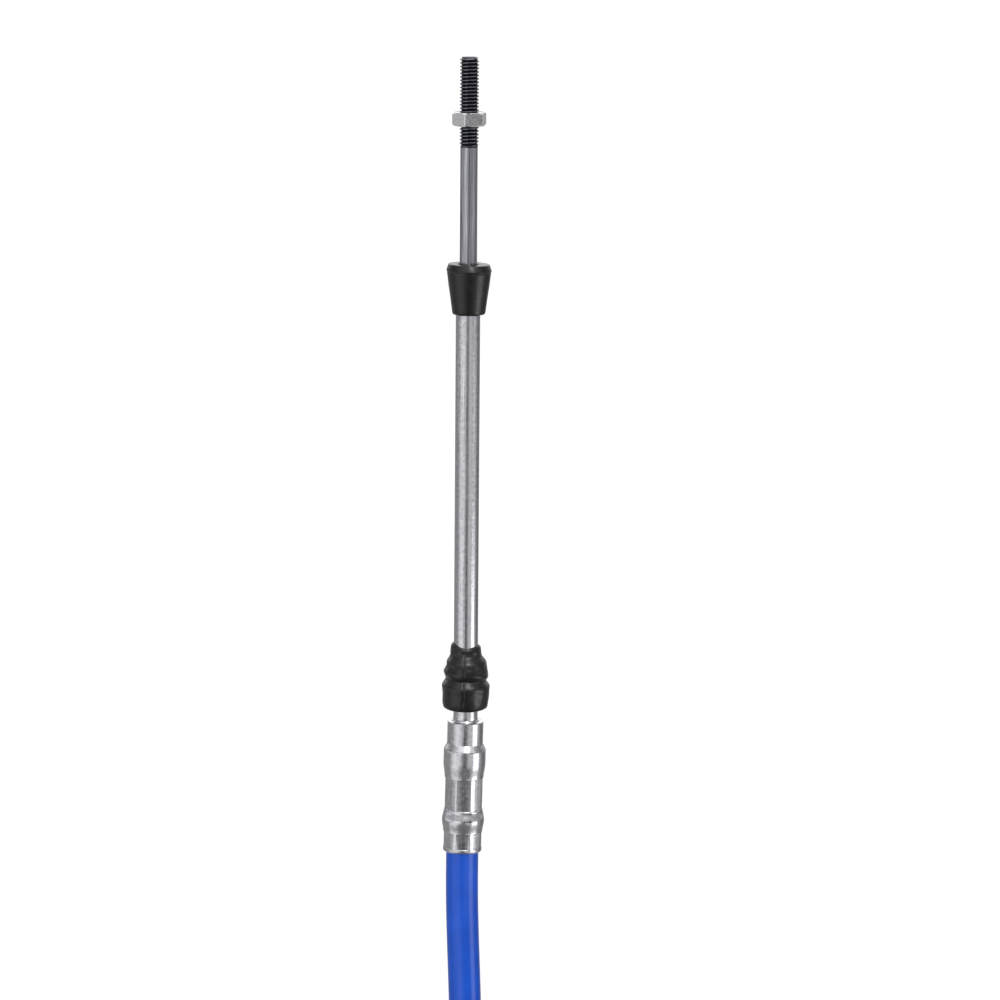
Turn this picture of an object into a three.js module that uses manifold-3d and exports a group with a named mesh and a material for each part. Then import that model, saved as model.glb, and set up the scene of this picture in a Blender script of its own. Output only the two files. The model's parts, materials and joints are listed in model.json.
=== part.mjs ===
// Boat control cable: a push-pull cable in a blue plastic jacket, with the same steel fitting on both ends.
// Each fitting is a crimped hub, a support tube that swivels in it on a ball, a rubber boot and a rubber
// rod seal on that tube, and a threaded rod with a jam nut that slides in it.
// The cable lies on a level floor, z = 0. Both ends lie on one line along Y, and the spare length is wound
// into a round coil beside that line. Millimetres, +Z up.
import * as THREE from "three";
import { mergeVertices } from "three/addons/utils/BufferGeometryUtils.js";
import Module from "manifold-3d";

// The whole cable, from rod tip to rod tip with the core at mid travel, as it is sold
const overallLength = 1829;
const coreOffset = 5;

// Conduit
const conduitRadius = 4.25;
const conduitInHub = 8;

// End rod
const rodRadius = 2.25;
const rodLength = 133;
const rodExposed = 58.4;
const threadRadius = 2.41;
const threadLength = 23.1;
const tipChamfer = 0.6;

// Jam nut
const nutAcrossFlats = 7.94;
const nutThickness = 3.6;
const nutFromTip = 14.1;
const nutChamfer = 0.45;
const nutTurn = 15.7;

// Support tube and the ball on its end
const tubeRadius = 3.175;
const tubeExposed = 107.2;
const ballStep = 0.575;
const ballEndWall = 0.4;

// Rod seal, a conical rubber cap pushed over the tube's end
const sealLength = 13.1;
const sealTopRadius = 5.4;
const sealWidestRadius = 5.9;
const sealBottomRadius = 4.4;
const sealBevel = 1.8;
const sealLipStep = 0.12;
const sealEdge = 0.8;
const sealLipLength = 2.5;

// Swivel boot, slid up the tube from the hub
const bootGap = 3.4;
const bootLength = 16.9;
const bootCollarRadius = 4;
const bootCollarLength = 3;
const bootFoldRadius = 5.66;
const bootWaistRadius = 5.55;
const bootSkirtRadius = 6.3;
const bootHemRadius = 5.95;
const bootMouthRadius = 4.3;
const bootSkirtLength = 6.9;
const bootSkirtFlare = 0.12;
const bootShoulder = 0.3;
const bootFoldTaper = 0.2;
const bootCollarFillet = 0.8;
const bootWall = 1;

// Hub
const hubLength = 34.85;
const noseRadius = 4.72;
const noseLength = 6.06;
const noseChamfer = 0.2;
const shoulderLength = 1.63;
const barrelRadius = 5.55;
const barrelLength = 4.5;
const crimpBlankRadius = 5.15;
const grooveFlat = 4.92;
const grooveStart = 15.24;
const grooveLength = 8.5;
const endBellyRadius = 5.57;
const bellyStart = 25.65;
const bellyEnd = 27.05;
const endCrimpFlat = 4.96;
const endCrimpStart = 29.75;
const endCrimpLength = 3.95;
const endRimRadius = 5.09;
const endRimRound = 0.3;
const coreBoreRadius = 2;

// How far the first hub lies turned on its ball, in degrees
const firstHubTurn = -1.1;

// Clearances
const runningGap = 0.25;
const threadGap = 0.15;
const rubberGap = 0.3;
const ballGap = 0.2;
const ballHold = 0.19;
const touchingGap = 0.3;

// Coil of spare conduit and the ties that hold it
const coilTurns = 5;
const coilPitch = 8.6;
const coilLayer = 8.5;
const leadIn = 95;
const leadOut = 18;
const leadSlack = 6;
const tieWidth = 3.6;
const tieThickness = 1.1;
const tieHead = 4.6;
const tieHeadWidth = 5.4;
const tieAngles = [80, 160, 240];

// Sides of the round pieces
const rodSides = 20;
const tubeSides = 24;
const hubSides = 24;
const coilSides = 40;
const conduitSides = 12;
const conduitSteps = 12;
const crimpSides = 8;

// Worked out from the sizes above. Places along an end are measured from the hub's face, positive to the tip.
const axisHeight = bootSkirtRadius;
const sealTop = tubeExposed + sealLength;
const midTip = sealTop + rodExposed;
const ballRadius = tubeRadius + ballStep;
const socketRadius = ballRadius + ballGap;
const mouthRadius = ballRadius - ballHold;
const ballCentre = -Math.sqrt(socketRadius ** 2 - mouthRadius ** 2);
const tubeBore = rodRadius + runningGap;
const conduitBore = conduitRadius + touchingGap;
const freeConduit = overallLength - 2 * (midTip + hubLength);
const coilLength = freeConduit - leadIn - leadOut - leadSlack;
const strandSteps = [0, 0.5, 1, 1, 0];
const coilInset = (coilPitch * strandSteps.reduce((sum, step) => sum + step, 0)) / coilTurns;
const coilRadius = coilLength / (2 * Math.PI * coilTurns) + coilInset;
const endAReach = leadIn + hubLength + midTip - coreOffset;
const endBReach = leadOut + hubLength + midTip + coreOffset;
const coilY = (endBReach - endAReach) / 2;
const faceA = coilY + leadIn + hubLength;
const faceB = coilY - leadOut - hubLength;

const wasm = await Module();
wasm.setup();

const steel = new THREE.MeshStandardMaterial({ color: 0x8d8e94, roughness: 0.32, metalness: 1 });
const bright = new THREE.MeshStandardMaterial({ color: 0xb9babd, roughness: 0.26, metalness: 1 });
const zinc = new THREE.MeshStandardMaterial({ color: 0xa5a6a8, roughness: 0.45, metalness: 1 });
const rubber = new THREE.MeshStandardMaterial({ color: 0x29292a, roughness: 0.55, metalness: 0 });
const jacket = new THREE.MeshStandardMaterial({ color: 0x1e56c2, roughness: 0.38, metalness: 0 });
const nylon = new THREE.MeshStandardMaterial({ color: 0x1b1b1c, roughness: 0.5, metalness: 0 });

const cable = new THREE.Group();

function addPiece(parent, name, geometry, material) {
  const mesh = new THREE.Mesh(geometry, material);
  mesh.name = name;
  parent.add(mesh);
  return mesh;
}

// A body turned about Y from an outline of [radius, place along the axis] points, outer side upwards
function turned(outline, sides) {
  const points = outline.map(([radius, place]) => new THREE.Vector2(radius, place));
  return new THREE.LatheGeometry(points, sides);
}

function turnedRing(outline, sides) {
  return turned([...outline, outline[0]], sides);
}

// The points of an arc in an outline, from one angle to another in radians
function arc(centreRadius, centrePlace, radius, from, to, steps) {
  return Array.from({ length: steps + 1 }, (_, step) => {
    const angle = from + ((to - from) * step) / steps;
    return [centreRadius + radius * Math.cos(angle), centrePlace + radius * Math.sin(angle)];
  });
}

function solid(geometry) {
  const bare = geometry.clone();
  bare.deleteAttribute("normal");
  bare.deleteAttribute("uv");
  const shared = mergeVertices(bare, 1e-4);
  const vertProperties = new Float32Array(shared.attributes.position.array);
  const triVerts = new Uint32Array(shared.index.array);
  return new wasm.Manifold(new wasm.Mesh({ numProp: 3, vertProperties, triVerts }));
}

function geometryOf(body) {
  const mesh = body.getMesh();
  const geometry = new THREE.BufferGeometry();
  geometry.setAttribute("position", new THREE.BufferAttribute(new Float32Array(mesh.vertProperties), 3));
  geometry.setIndex(Array.from(mesh.triVerts));
  geometry.computeVertexNormals();
  return geometry;
}

// End rod: a plain shank with its thread as a cylinder of the crest size, chamfered at the tip
function endRod() {
  const outline = [
    [0, -rodLength],
    [rodRadius - tipChamfer, -rodLength],
    [rodRadius, tipChamfer - rodLength],
    [rodRadius, -threadLength - (threadRadius - rodRadius)],
    [threadRadius, -threadLength],
    [threadRadius, -tipChamfer],
    [threadRadius - tipChamfer, 0],
    [0, 0],
  ];
  return turned(outline, rodSides);
}

// Jam nut: a hexagon chamfered at its corners on both faces, bored clear of the thread
function jamNut() {
  const cornerRadius = nutAcrossFlats / 2 / Math.cos(Math.PI / 6);
  const faceRadius = nutAcrossFlats / 2;
  const half = nutThickness / 2;
  const bore = threadRadius + threadGap;
  const turnedBlank = turnedRing(
    [
      [bore, -half],
      [faceRadius, -half],
      [cornerRadius + nutChamfer, nutChamfer * 2 - half],
      [cornerRadius + nutChamfer, half - nutChamfer * 2],
      [faceRadius, half],
      [bore, half],
    ],
    tubeSides,
  );
  const hexagon = new THREE.CylinderGeometry(cornerRadius, cornerRadius, nutThickness * 2, 6);
  hexagon.rotateY(THREE.MathUtils.degToRad(30 + nutTurn));
  return geometryOf(solid(turnedBlank).intersect(solid(hexagon)));
}

// Support tube: a plain tube with a ball swaged on its lower end, round the ball's centre in the hub
function supportTube() {
  const lowest = Math.asin((tubeBore + ballEndWall) / ballRadius) - Math.PI / 2;
  const neck = Math.acos(tubeRadius / ballRadius);
  const top = sealTop - sealLipLength - rubberGap;
  return turnedRing(
    [
      [tubeBore, ballCentre + ballRadius * Math.sin(lowest)],
      ...arc(0, ballCentre, ballRadius, lowest, neck, 5),
      [tubeRadius, top],
      [tubeBore, top],
    ],
    tubeSides,
  );
}

// Rod seal: a short bevel from its flat top, then a long taper to a rounded lower edge
function rodSeal() {
  const bottom = tubeExposed;
  const socket = tubeRadius + rubberGap;
  const lip = threadRadius + threadGap;
  const socketTop = sealTop - sealLipLength;
  return turnedRing(
    [
      [socket, bottom],
      [sealBottomRadius - sealEdge, bottom],
      [sealBottomRadius - sealEdge * 0.3, bottom + sealEdge * 0.3],
      [sealBottomRadius, bottom + sealEdge],
      [sealWidestRadius - sealLipStep, sealTop - sealBevel - sealLipStep * 3],
      [sealWidestRadius, sealTop - sealBevel],
      [sealTopRadius, sealTop],
      [lip, sealTop],
      [lip, socketTop],
      [socket, socketTop],
    ],
    tubeSides,
  );
}

// Swivel boot: a collar on the tube, a soft fold below it, then a cup that fits over the hub's nose
function swivelBoot() {
  const bottom = bootGap;
  const top = bootGap + bootLength;
  const collarEnd = top - bootCollarLength;
  const skirtTop = bottom + bootSkirtLength;
  const cup = noseRadius + touchingGap;
  const hold = tubeRadius + rubberGap;
  const foldTop = collarEnd - (collarEnd - skirtTop) / 2;
  return turnedRing(
    [
      [bootMouthRadius, bottom],
      [bootHemRadius - bootWall, bottom + bootWall * 0.15],
      [bootHemRadius - bootWall * 0.3, bottom + bootWall * 0.6],
      [bootHemRadius, bottom + bootWall * 1.5],
      [bootSkirtRadius - bootSkirtFlare, skirtTop - bootWall * 1.8],
      [bootSkirtRadius, skirtTop - bootWall],
      [bootSkirtRadius - bootShoulder, skirtTop],
      [bootWaistRadius, skirtTop + bootWall],
      [bootFoldRadius, foldTop - bootWall * 0.7],
      [bootFoldRadius - bootFoldTaper, foldTop + bootWall * 0.5],
      [bootCollarRadius + bootCollarFillet, collarEnd - bootWall * 0.9],
      [bootCollarRadius, collarEnd],
      [bootCollarRadius, top - bootWall * 0.4],
      [bootCollarRadius - bootWall * 0.3, top],
      [hold, top],
      [hold, skirtTop - bootWall],
      [cup, skirtTop - bootWall * 2],
      [cup, bottom + bootWall],
    ],
    tubeSides,
  );
}

// The metal that the crimping jaws press away from the hub between two places: all outside an octagon
function pressedAway(start, length, flat) {
  const outside = barrelRadius * 2;
  const inside = flat / 2;
  const ring = turnedRing(
    [
      [inside, -start - length],
      [outside, -start - length],
      [outside, -start],
      [inside, -start],
    ],
    crimpSides,
  );
  const corner = flat / Math.cos(Math.PI / crimpSides);
  const octagon = new THREE.CylinderGeometry(corner, corner, length * 3, crimpSides);
  octagon.rotateY(Math.PI / crimpSides);
  octagon.translate(0, -start - length / 2, 0);
  return solid(ring).subtract(solid(octagon));
}

// Hub: a turned sleeve with the ball's socket in its nose, crimped in a groove and again at its end
function hub() {
  const shoulder = noseLength + shoulderLength;
  const grooveEnd = grooveStart + grooveLength;
  const endCrimpEnd = endCrimpStart + endCrimpLength;
  const mouthAngle = Math.acos(mouthRadius / socketRadius);
  const boreAngle = Math.acos(coreBoreRadius / socketRadius);
  const blank = turnedRing(
    [
      [conduitBore, -hubLength],
      [endRimRadius - endRimRound, -hubLength],
      [endRimRadius, endRimRound - hubLength],
      [endRimRadius, -endCrimpEnd - endRimRound],
      [crimpBlankRadius, -endCrimpEnd],
      [crimpBlankRadius, -endCrimpStart],
      [endBellyRadius, -bellyEnd],
      [endBellyRadius, -bellyStart],
      [crimpBlankRadius, -grooveEnd],
      [crimpBlankRadius, -grooveStart],
      [barrelRadius, -shoulder - barrelLength],
      [barrelRadius, -shoulder],
      [noseRadius, -noseLength],
      [noseRadius, -noseChamfer],
      [noseRadius - noseChamfer, 0],
      [mouthRadius, 0],
      ...arc(0, ballCentre, socketRadius, mouthAngle, -boreAngle, 6).slice(1),
      [coreBoreRadius, conduitInHub + touchingGap - hubLength],
      [conduitBore, conduitInHub + touchingGap - hubLength],
    ],
    hubSides,
  );
  const groove = pressedAway(grooveStart, grooveLength, grooveFlat);
  const endCrimp = pressedAway(endCrimpStart, endCrimpLength, endCrimpFlat);
  return geometryOf(solid(blank).subtract(groove).subtract(endCrimp));
}

// One end's pieces, in a frame with its Y along the rod and its origin in the middle of the hub's face.
// The hub may lie turned about the ball's centre, in degrees.
function endFitting(letter, tip, hubTurn) {
  const end = new THREE.Group();
  const turn = THREE.MathUtils.degToRad(hubTurn);
  const turnedHub = addPiece(end, `hub_${letter}`, hub(), bright);
  turnedHub.rotation.z = turn;
  turnedHub.position.set(ballCentre * Math.sin(turn), ballCentre * (1 - Math.cos(turn)), 0);
  addPiece(end, `support_tube_${letter}`, supportTube(), bright);
  addPiece(end, `swivel_boot_${letter}`, swivelBoot(), rubber);
  addPiece(end, `rod_seal_${letter}`, rodSeal(), rubber);
  addPiece(end, `end_rod_${letter}`, endRod(), steel).position.y = tip;
  addPiece(end, `jam_nut_${letter}`, jamNut(), zinc).position.y = tip - nutFromTip - nutThickness / 2;
  return end;
}

const endA = endFitting("a", midTip - coreOffset, firstHubTurn);
endA.position.set(0, faceA, axisHeight);
cable.add(endA);

const endB = endFitting("b", midTip + coreOffset, 0);
endB.position.set(0, faceB, axisHeight);
endB.rotation.z = Math.PI;
cable.add(endB);

// The coil's strands as they lie in its section: [inset from the outer turn, height], on the ties
const lift = tieThickness + touchingGap;
const lowStrand = lift + conduitRadius;
const midStrand = lowStrand + coilLayer;
const topStrand = midStrand + Math.sqrt(coilLayer ** 2 - (coilPitch / 2) ** 2);

// The outline round those strands, some way outside them, from the inner lower corner
function coilOutline(outside) {
  const radius = conduitRadius + outside;
  const lean = Math.atan2(coilPitch / 2, topStrand - midStrand);
  const inner = coilRadius - coilPitch;
  const half = Math.PI / 2;
  return [
    ...arc(inner, lowStrand, radius, -2 * half, -half, 2),
    ...arc(coilRadius, lowStrand, radius, -half, 0, 2),
    ...arc(coilRadius, midStrand, radius, 0, lean, 1),
    ...arc(coilRadius - coilPitch / 2, topStrand, radius, lean, 2 * half - lean, 3),
    ...arc(inner, midStrand, radius, 2 * half - lean, 2 * half, 1),
  ];
}

function coilRing(outside) {
  const ring = turnedRing(coilOutline(outside), coilSides);
  ring.rotateX(Math.PI / 2);
  ring.translate(coilRadius, coilY, 0);
  return ring;
}

// A stretch of conduit along the points it passes through
function conduitAlong(points) {
  const path = new THREE.CatmullRomCurve3(points.map((point) => new THREE.Vector3(...point)));
  const corners = Array.from({ length: conduitSides }, (_, side) => {
    const angle = (2 * Math.PI * side) / conduitSides;
    return new THREE.Vector2(conduitRadius * Math.cos(angle), conduitRadius * Math.sin(angle));
  });
  return new THREE.ExtrudeGeometry(new THREE.Shape(corners), { steps: conduitSteps, extrudePath: path });
}

// From the first hub the conduit bends gently and rises onto the coil's second layer: x, way on, z
const routeIn = [
  [-0.48, -conduitInHub, 6.3],
  [-0.64, 0, 6.3],
  [-0.69, 8, 6.46],
  [-0.56, 16, 6.89],
  [-0.29, 24, 7.55],
  [0.04, 32, 8.37],
  [0.39, 41, 9.43],
  [0.62, 52, 10.78],
  [0.57, 64, 12.2],
  [0.3, 76, 13.33],
].map(([x, way, z]) => [x, faceA - hubLength - way, z]);

// At the other end it leaves the coil's lowest outer turn and goes straight into the second hub
const routeOut = [
  [0, 1.5, 5.67],
  [0, 6, 5.85],
  [0, 12, 6.17],
  [0, 18, 6.3],
  [0, 26, 6.3],
].map(([x, way, z]) => [x, coilY - way, z]);

const runIn = solid(conduitAlong(routeIn)).subtract(solid(coilRing(touchingGap)));
addPiece(cable, "conduit_run_a", geometryOf(runIn), jacket);
addPiece(cable, "conduit_run_b", conduitAlong(routeOut), jacket);

// The coil's outer shape, with the channel in which the last stretch and the second hub lie
const channelRadius = barrelRadius + touchingGap * 2;
const channel = new THREE.CylinderGeometry(channelRadius, channelRadius, hubLength * 2, conduitSides);
channel.translate(0, coilY - hubLength - touchingGap, axisHeight);
const coil = solid(coilRing(0)).subtract(solid(channel));
addPiece(cable, "conduit_coil", geometryOf(coil), jacket);

// Nylon ties round the coil's section, each with its head on the inner side
function coilTie() {
  const band = new THREE.Shape(coilOutline(touchingGap + tieThickness).map((p) => new THREE.Vector2(...p)));
  band.holes.push(new THREE.Path(coilOutline(touchingGap).map((p) => new THREE.Vector2(...p))));
  const strap = new THREE.ExtrudeGeometry(band, { depth: tieWidth, bevelEnabled: false });
  strap.translate(0, 0, -tieWidth / 2);
  const inner = coilRadius - coilPitch - conduitRadius - touchingGap;
  const head = new THREE.BoxGeometry(tieHead, tieHeadWidth, tieHeadWidth);
  head.translate(inner - tieHead / 2 - tieThickness / 2, midStrand - coilLayer / 2, 0);
  const tie = geometryOf(solid(strap).add(solid(head)));
  tie.rotateX(Math.PI / 2);
  return tie;
}

tieAngles.forEach((angle, index) => {
  const tie = addPiece(cable, `coil_tie_${index + 1}`, coilTie(), nylon);
  tie.rotation.z = Math.PI + THREE.MathUtils.degToRad(angle);
  tie.position.set(coilRadius, coilY, 0);
});

export default cable;
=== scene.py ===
import json
import math

import bmesh
import bpy
from mathutils import Matrix, Vector


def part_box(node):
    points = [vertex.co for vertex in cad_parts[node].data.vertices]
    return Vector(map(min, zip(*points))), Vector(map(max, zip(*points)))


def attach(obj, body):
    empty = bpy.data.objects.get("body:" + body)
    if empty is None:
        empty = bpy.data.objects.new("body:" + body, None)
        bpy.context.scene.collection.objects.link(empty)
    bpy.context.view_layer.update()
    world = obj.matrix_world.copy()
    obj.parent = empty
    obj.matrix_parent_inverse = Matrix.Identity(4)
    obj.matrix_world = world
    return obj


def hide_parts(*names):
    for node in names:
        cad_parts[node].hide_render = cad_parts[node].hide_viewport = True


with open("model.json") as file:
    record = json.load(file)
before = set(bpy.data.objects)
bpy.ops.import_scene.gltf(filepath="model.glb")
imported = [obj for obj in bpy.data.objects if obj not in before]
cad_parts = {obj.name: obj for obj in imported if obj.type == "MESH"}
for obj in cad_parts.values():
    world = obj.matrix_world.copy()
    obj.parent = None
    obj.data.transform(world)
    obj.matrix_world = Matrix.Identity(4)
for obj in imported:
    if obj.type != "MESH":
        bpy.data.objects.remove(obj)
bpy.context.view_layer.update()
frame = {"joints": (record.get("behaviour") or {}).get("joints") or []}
mm = 0.001

# Camera
# The photograph looks down through a long lens on the fitting that lies flat, from a little beyond its rod
# tip. Its lower edge cuts the jacket 40 mm behind the hub.
picture_centre = Vector((8.62 * mm, 154.98 * mm, 6.3 * mm))
camera_distance = 1.3
camera_tilt = math.radians(9.6)
camera_roll = math.radians(0.43)

lens = bpy.data.cameras.new("camera")
lens.lens = 180
lens.sensor_width = 36
lens.clip_end = 20
camera = bpy.data.objects.new("camera", lens)
camera.matrix_world = (
    Matrix.Translation(picture_centre)
    @ Matrix.Rotation(-camera_tilt, 4, "X")
    @ Matrix.Rotation(camera_roll, 4, "Z")
    @ Matrix.Translation((0, 0, camera_distance))
)
bpy.context.collection.objects.link(camera)
bpy.context.scene.camera = camera
bpy.context.scene.view_settings.view_transform = "Standard"

# Conduit
# A steel-armoured cable conduit in an extruded blue plastic jacket, seated in a hub at each end. The length
# that the photograph doesn't show is wound into a coil of five turns beside the fittings.
conduit_diameter = 8.5 * mm
strand_spacing = 8.6 * mm
turn_step = 4

# Each hub's face lies just past the ball that its tube swivels on
hub_length = 34.85
ball_depth = 1.71
swivels = {
    joint["child"][-1]: Vector(joint["pos_m"])
    for joint in frame["joints"]
    if joint["name"].startswith("swivel")
}
face_a = swivels["a"].y + ball_depth * mm
face_b = swivels["b"].y - ball_depth * mm
axis_height = swivels["a"].z
hub_a_end = face_a - hub_length * mm
lead_in = 95 * mm
coil_outer = 45.135 * mm
coil_inner = coil_outer - strand_spacing
coil_y = hub_a_end - lead_in

# Places in the coil's section, as distance from its centre and height
low_outer = (coil_outer, 5.65 * mm)
low_inner = (coil_inner, 5.65 * mm)
mid_outer = (coil_outer, 14.15 * mm)
mid_inner = (coil_inner, 14.15 * mm)
nest = ((coil_outer + coil_inner) / 2, 21.48 * mm)
high_outer = (coil_outer, 22.65 * mm)
high_inner = (coil_inner, 22.65 * mm)
hump = 0.35 * mm

# Each turn starts at its first place and moves over between two angles, in degrees from where it comes in
turns = [
    (mid_outer, [(285, 335, high_outer, 0)]),
    (high_outer, [(50, 76, nest, hump), (265, 315, high_inner, hump)]),
    (high_inner, [(35, 72, mid_inner, 0)]),
    (mid_inner, [(22, 65, low_inner, 0)]),
    (low_inner, [(5, 52, low_outer, 0)]),
]


def eased(share):
    """A share from 0 to 1 that starts and ends gently."""
    share = min(max(share, 0), 1)
    return share * share * (3 - 2 * share)


def coil_point(start, moves, angle):
    """The conduit's centre at an angle round a turn that starts at one place and moves over to others."""
    radius, height = start
    for begin, end, place, rise in moves:
        share = eased((angle - begin) / (end - begin))
        radius += (place[0] - radius) * share
        height += (place[1] - height) * share + rise * math.sin(math.pi * share)
    turned = math.radians(angle)
    return (coil_outer - radius * math.cos(turned), coil_y - radius * math.sin(turned), height)


# The way in and out: sideways, how far on from the hub or the coil, height
way_in = [
    (-0.48, -8, 6.3), (-0.64, 0, 6.3), (-0.69, 8, 6.46), (-0.56, 16, 6.89), (-0.29, 24, 7.55),
    (0.04, 32, 8.37), (0.39, 41, 9.43), (0.62, 52, 10.78), (0.57, 64, 12.2), (0.3, 76, 13.33),
    (0.08, 86, 13.95),
]
way_out = [(0, 1.5, 5.67), (0, 6, 5.85), (0, 12, 6.17), (0, 18, 6.3), (0, 26, 6.3)]
route = [(x * mm, hub_a_end - way * mm, z * mm) for x, way, z in way_in]
for start, moves in turns:
    route += [coil_point(start, moves, angle) for angle in range(0, 360, turn_step)]
route.append(coil_point(*turns[-1], 360))
route += [(x * mm, coil_y - way * mm, z * mm) for x, way, z in way_out]

conduit_curve = bpy.data.curves.new("conduit", "CURVE")
conduit_curve.dimensions = "3D"
conduit_curve.bevel_depth = conduit_diameter / 2
conduit_curve.bevel_resolution = 7
conduit_curve.use_fill_caps = True
conduit_curve.resolution_u = 2
spline = conduit_curve.splines.new("NURBS")
spline.points.add(len(route) - 1)
for point, place in zip(spline.points, route):
    point.co = (*place, 1)
spline.order_u = 4
spline.use_endpoint_u = True
conduit = bpy.data.objects.new("conduit", conduit_curve)
bpy.context.collection.objects.link(conduit)


def colour(code):
    """An sRGB hex value as the linear colour that a shader takes."""
    channels = [int(code[start : start + 2], 16) / 255 for start in (1, 3, 5)]
    return (*(c / 12.92 if c <= 0.04045 else ((c + 0.055) / 1.055) ** 2.4 for c in channels), 1)


def add_node(tree, kind, inputs=None, **settings):
    """A node with its settings; inputs gives each socket a value, or the output or node that it takes."""
    node = tree.nodes.new(kind)
    for name, value in settings.items():
        setattr(node, name, value)
    for socket, value in (inputs or {}).items():
        if isinstance(value, bpy.types.Node):
            value = value.outputs[0]
        if isinstance(value, bpy.types.NodeSocket):
            tree.links.new(value, node.inputs[socket])
        else:
            node.inputs[socket].default_value = value
    return node


# Extruded flexible PVC: even blue with a soft gloss and a fine orange peel, slightly cloudy in colour
blue_pvc = bpy.data.materials.new("extruded_blue_pvc")
blue_pvc.use_nodes = True
tree = blue_pvc.node_tree
surface = tree.nodes["Principled BSDF"]
surface.inputs["IOR"].default_value = 1.45
place = add_node(tree, "ShaderNodeTexCoord").outputs["Object"]
cloud = add_node(tree, "ShaderNodeTexNoise", {"Vector": place, "Scale": 1 / (6 * mm), "Detail": 3})
tint = add_node(tree, "ShaderNodeValToRGB", {"Fac": cloud})
tint.color_ramp.elements[0].color = colour("#0344ae")
tint.color_ramp.elements[0].position = 0.3
tint.color_ramp.elements[1].color = colour("#054cbc")
tint.color_ramp.elements[1].position = 0.7
tree.links.new(tint.outputs["Color"], surface.inputs["Base Color"])
peel = add_node(tree, "ShaderNodeTexNoise", {"Vector": place, "Scale": 1 / (0.8 * mm), "Detail": 2})
gloss = add_node(tree, "ShaderNodeMapRange", {"Value": peel, "To Min": 0.17, "To Max": 0.24})
tree.links.new(gloss.outputs["Result"], surface.inputs["Roughness"])
skin = add_node(tree, "ShaderNodeBump", {"Height": peel, "Strength": 0.35, "Distance": 0.02 * mm})
tree.links.new(skin.outputs["Normal"], surface.inputs["Normal"])
conduit_curve.materials.append(blue_pvc)

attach(conduit, "cable")
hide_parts("conduit_run_a", "conduit_run_b", "conduit_coil")

# Coil ties
# Three black nylon cable ties hold the coil. Each is a moulded strap pulled tight round the turns, with its
# locking head on the coil's inner side and a short toothed tail cut off past the head.
tie_angles = [80, 160, 240]
tie_clearance = 0.12 * mm
tie_width = 3.6 * mm
tie_thickness = 1.1 * mm
tie_round = 0.25 * mm
head_depth = 4.6 * mm
head_width = 5.4 * mm
tail_width = 2.6 * mm
tail_length = 9.5 * mm
tooth_pitch = 0.9 * mm
tie_groove = 0.12 * mm
head_gap = 0.3 * mm
pawl_size = (2.3 * mm, 3.4 * mm, head_width + 0.5 * mm)
tail_size = (1 * mm, tail_width, tail_length)
tooth_size = (0.5 * mm, tail_width * 0.7, 0.35 * mm)


def tie_outline(outside, steps=6):
    """The line round the five strands of the coil's section, at this distance outside them."""
    radius = conduit_diameter / 2 + outside
    lean = math.atan2(nest[0] - coil_inner, nest[1] - mid_inner[1])
    half = math.pi / 2
    corners = [
        (low_inner, -2 * half, -half),
        (low_outer, -half, 0),
        (mid_outer, 0, lean),
        (nest, lean, 2 * half - lean),
        (mid_inner, 2 * half - lean, 2 * half),
    ]
    line = []
    for (distance, height), begin, end in corners:
        for step in range(steps + 1):
            angle = begin + (end - begin) * step / steps
            line.append((distance + radius * math.cos(angle), height + radius * math.sin(angle)))
    return line


def ring_skin(build, rings, closed):
    """Faces between rings of points, each ring closed; the last ring joins the first if closed."""
    made = [[build.verts.new(point) for point in ring] for ring in rings]
    pairs = list(zip(made, made[1:])) + ([(made[-1], made[0])] if closed else [])
    for first, second in pairs:
        for i in range(len(first)):
            j = (i + 1) % len(first)
            corners = [first[i], first[j], second[j], second[i]]
            corners = [c for n, c in enumerate(corners) if c not in corners[:n]]
            if len(corners) > 2:
                build.faces.new(corners)


def add_box(build, centre, size, bevel):
    """A box with rounded edges, its sides along X, Y and Z."""
    box = bmesh.ops.create_cube(build, size=1)["verts"]
    bmesh.ops.scale(build, vec=size, verts=box)
    bmesh.ops.translate(build, vec=centre, verts=box)
    edges = list({edge for vert in box for edge in vert.link_edges})
    bmesh.ops.bevel(build, geom=edges, offset=bevel, segments=2, affect="EDGES", profile=0.6)


def finished(build, name, put, sharp=35):
    """The mesh made so far, put in place as an object: faces outwards, edges sharp past an angle."""
    bmesh.ops.transform(build, matrix=put, verts=build.verts)
    bmesh.ops.remove_doubles(build, verts=build.verts, dist=0.5e-6)
    bmesh.ops.recalc_face_normals(build, faces=build.faces)
    mesh = bpy.data.meshes.new(name)
    build.to_mesh(mesh)
    build.free()
    mesh.polygons.foreach_set("use_smooth", [True] * len(mesh.polygons))
    mesh.set_sharp_from_angle(angle=math.radians(sharp))
    piece = bpy.data.objects.new(name, mesh)
    bpy.context.collection.objects.link(piece)
    return piece


# Moulded nylon 6.6: deep black, satin, with the fine grain of the mould
black_nylon = bpy.data.materials.new("moulded_black_nylon")
black_nylon.use_nodes = True
tree = black_nylon.node_tree
surface = tree.nodes["Principled BSDF"]
surface.inputs["Base Color"].default_value = colour("#1b1b1c")
surface.inputs["IOR"].default_value = 1.53
place = add_node(tree, "ShaderNodeTexCoord").outputs["Object"]
grain = add_node(tree, "ShaderNodeTexNoise", {"Vector": place, "Scale": 1 / (0.25 * mm), "Detail": 3})
gloss = add_node(tree, "ShaderNodeMapRange", {"Value": grain, "To Min": 0.36, "To Max": 0.52})
tree.links.new(gloss.outputs["Result"], surface.inputs["Roughness"])
skin = add_node(tree, "ShaderNodeBump", {"Height": grain, "Strength": 0.4, "Distance": 0.02 * mm})
tree.links.new(skin.outputs["Normal"], surface.inputs["Normal"])

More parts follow.
